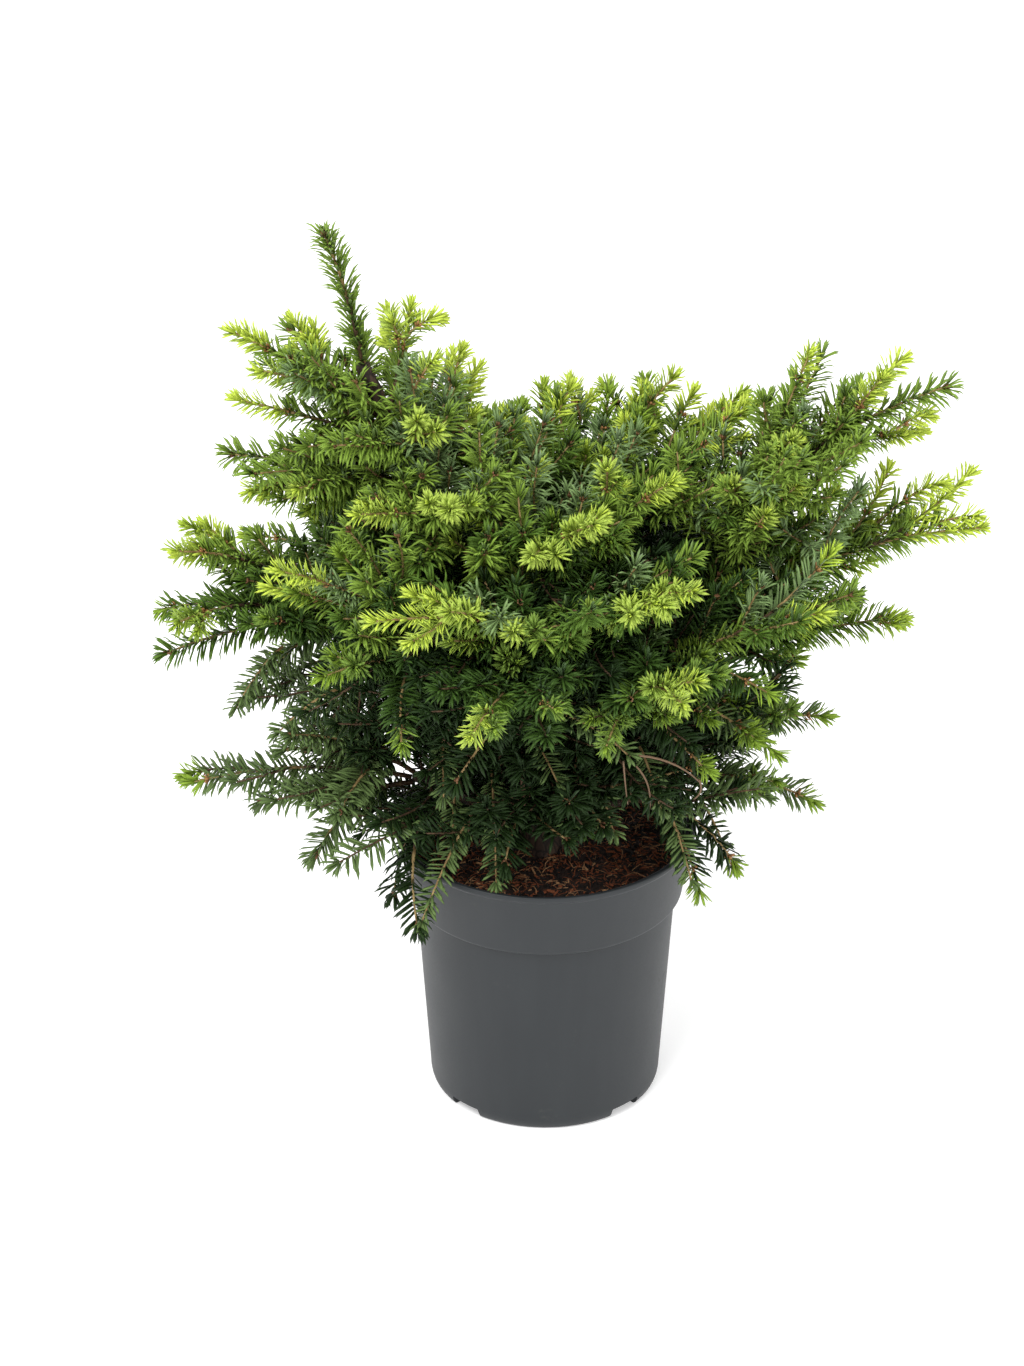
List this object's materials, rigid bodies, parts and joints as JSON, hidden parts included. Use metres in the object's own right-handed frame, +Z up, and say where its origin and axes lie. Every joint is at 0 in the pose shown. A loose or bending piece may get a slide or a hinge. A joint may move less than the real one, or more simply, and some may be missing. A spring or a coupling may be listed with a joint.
{
  "type": "dwarf spruce in a round nursery pot",
  "caption": "Small spreading conifer with a leaning trunk, short needled shoots and pale new tips, standing in a round plastic nursery pot filled with soil.",
  "frame": {"origin": "middle of the flat underside of the pot", "axes": "+Z up, -Y towards the viewer of the picture, +X to the right; the trunk leans towards -X"},
  "size_m": [0.3837, 0.2925, 0.4497],
  "materials": {
    "pot": "matt slate-grey moulded plastic",
    "soil": "damp fibrous potting soil",
    "bark": "rough brown bark",
    "twigs": "tan shoots with small bud scales",
    "needles": "satin dark-green needles, paler beneath",
    "needles_mid": "satin mid-green needles, paler beneath",
    "new_growth": "soft yellow-green new needles"
  },
  "bodies": {
    "root": {"bough_back": "bark", "bough_back_left": "bark", "bough_back_right": "bark", "bough_front": "bark", "bough_front_left": "bark", "bough_front_right": "bark", "bough_left": "bark", "bough_left_low": "bark", "bough_low_left": "bark", "bough_low_right": "bark", "bough_middle": "bark", "bough_right": "bark", "bough_right_low": "bark", "bough_right_stem": "bark", "foliage_back_centre": "needles", "foliage_back_left": "needles", "foliage_back_left_low": "needles", "foliage_back_right": "needles", "foliage_back_right_low": "needles", "foliage_back_top": "needles", "foliage_back_upper": "needles", "foliage_front_centre": "needles", "foliage_front_far_left": "needles", "foliage_front_hang": "needles", "foliage_front_left_low": "needles", "foliage_front_low": "needles", "foliage_front_low_right": "needles", "foliage_front_mid_left": "needles", "foliage_front_right": "needles", "foliage_front_right_low": "needles", "foliage_front_top_left": "needles", "foliage_front_top_right": "needles", "foliage_front_upright": "needles", "foliage_leader": "needles", "foliage_left_bottom": "needles", "foliage_left_far": "needles", "foliage_left_hang": "needles", "foliage_left_high": "needles", "foliage_left_low": "needles", "foliage_left_mid": "needles", "foliage_left_top": "needles", "foliage_left_upper": "needles", "foliage_pot_left": "needles", "foliage_pot_right": "needles", "foliage_right_bottom": "needles", "foliage_right_far": "needles", "foliage_right_front": "needles", "foliage_right_low": "needles", "foliage_right_mid": "needles", "foliage_right_top": "needles", "foliage_right_upper": "needles", "foliage_top_left": "needles", "foliage_top_mid_left": "needles", "foliage_top_mid_right": "needles", "foliage_top_middle": "needles", "foliage_top_right": "needles", "pot": "pot", "soil": "soil", "trunk": "bark"}
  },
  "joints": []
}
